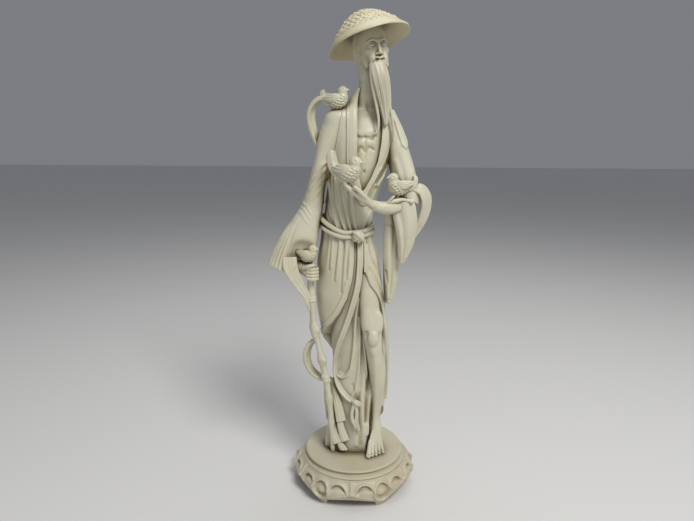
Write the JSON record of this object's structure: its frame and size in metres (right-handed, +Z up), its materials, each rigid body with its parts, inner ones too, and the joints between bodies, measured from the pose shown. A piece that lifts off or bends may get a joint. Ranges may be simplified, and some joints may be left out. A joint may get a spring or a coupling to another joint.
{
  "type": "okimono carving",
  "caption": "Slender robed elder with straw hat, long beard, staff and perched birds, in ivory-look cast resin on a turned drum and a lobed footed stand.",
  "frame": {"origin": "middle of the whole part's width and depth, in the plane of its feet; the stand's axis is 7.9 mm to its right", "axes": "+Z up, -Y to the front of the figure, +X to the viewer's right"},
  "size_m": [0.147, 0.109, 0.4201],
  "materials": {
    "ivory_resin": "satin ivory-look cast resin with olive-brown patina rubbed into the recesses",
    "base_resin": "satin warm beige cast resin with brown patina in the recesses",
    "straw_resin": "satin yellowed cast resin with plaited relief",
    "steel": "plain zinc-plated steel",
    "brass": "plain turned brass",
    "dowel_wood": "plain beech dowel"
  },
  "bodies": {
    "root": {"beard": "ivory_resin", "belt": "ivory_resin", "belt_knot": "ivory_resin", "body": "ivory_resin", "bolt_washer": "steel", "cord_bow": "ivory_resin", "core_rod": "steel", "cuff_fall": "ivory_resin", "elbow_bird": "ivory_resin", "elbow_bird_pin": "steel", "fixing_bolt": "steel", "foot_dowel": "dowel_wood", "forearm_dowel": "dowel_wood", "hat": "straw_resin", "hat_dowel": "dowel_wood", "head": "ivory_resin", "knot_pin": "steel", "left_arm_dowel": "dowel_wood", "left_foot": "ivory_resin", "left_hand": "ivory_resin", "left_leg": "ivory_resin", "left_sleeve": "ivory_resin", "left_sleeve_inner_fall": "ivory_resin", "left_sleeve_outer_fall": "ivory_resin", "long_cord": "ivory_resin", "lower_robe": "ivory_resin", "neck_dowel": "dowel_wood", "palm_bird": "ivory_resin", "palm_bird_pin": "steel", "plinth_drum": "base_resin", "right_arm_dowel": "dowel_wood", "right_hand": "ivory_resin", "right_sleeve": "ivory_resin", "scarf_elbow_loop": "ivory_resin", "scarf_ends": "ivory_resin", "scarf_low_loop": "ivory_resin", "scarf_shoulder_loop": "ivory_resin", "short_cord": "ivory_resin", "shoulder_bird": "ivory_resin", "shoulder_bird_pin": "steel", "sleeve_bird": "ivory_resin", "sleeve_bird_pin": "steel", "staff": "ivory_resin", "staff_pin": "steel", "stand_base": "base_resin", "thigh_dowel": "dowel_wood", "threaded_insert": "brass", "upper_robe": "ivory_resin"}
  },
  "joints": []
}
